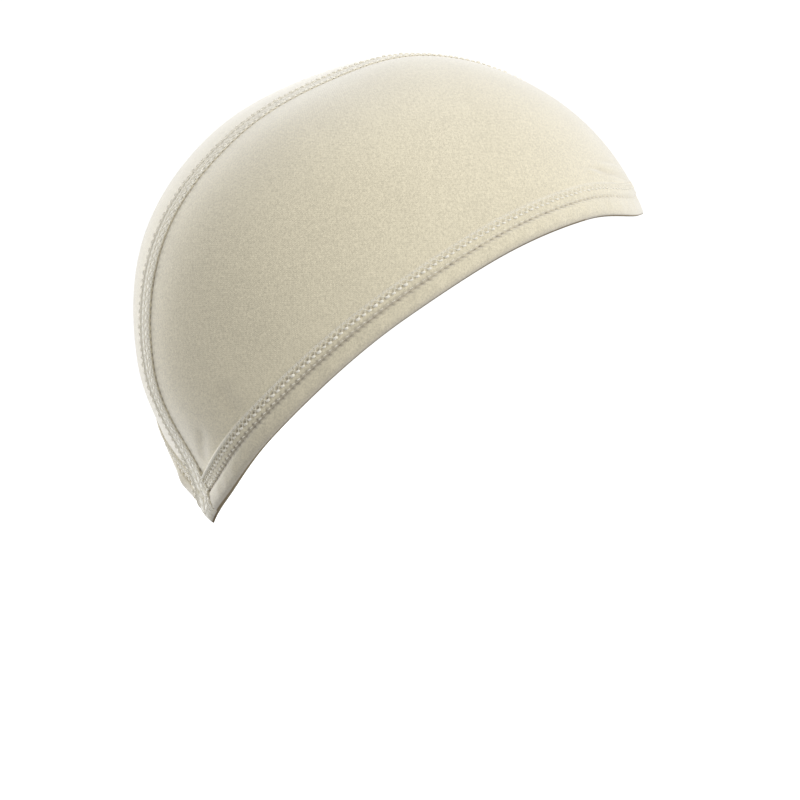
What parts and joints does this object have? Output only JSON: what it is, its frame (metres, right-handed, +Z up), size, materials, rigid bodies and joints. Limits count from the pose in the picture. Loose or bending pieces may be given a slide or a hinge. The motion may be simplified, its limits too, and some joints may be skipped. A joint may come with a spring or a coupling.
{
  "type": "wig cap",
  "caption": "Close-fitting stretch jersey cap in its worn shape, with a sagittal flat seam and a stitched hem that drops to a point at the nape.",
  "frame": {"origin": "the top of the head where it touches the cap, inside the crown on the centre plane", "axes": "+Z up, the wearer faces -Y, the wearer's right side is -X and the left side is +X"},
  "size_m": [0.1496, 0.1969, 0.1655],
  "materials": {
    "jersey": "matte",
    "jersey_seam": "matte",
    "jersey_hem": "matte"
  },
  "bodies": {
    "root": {"right_panel": "jersey", "left_panel": "jersey", "centre_seam": "jersey_seam", "right_hem": "jersey_hem", "left_hem": "jersey_hem"}
  },
  "joints": []
}
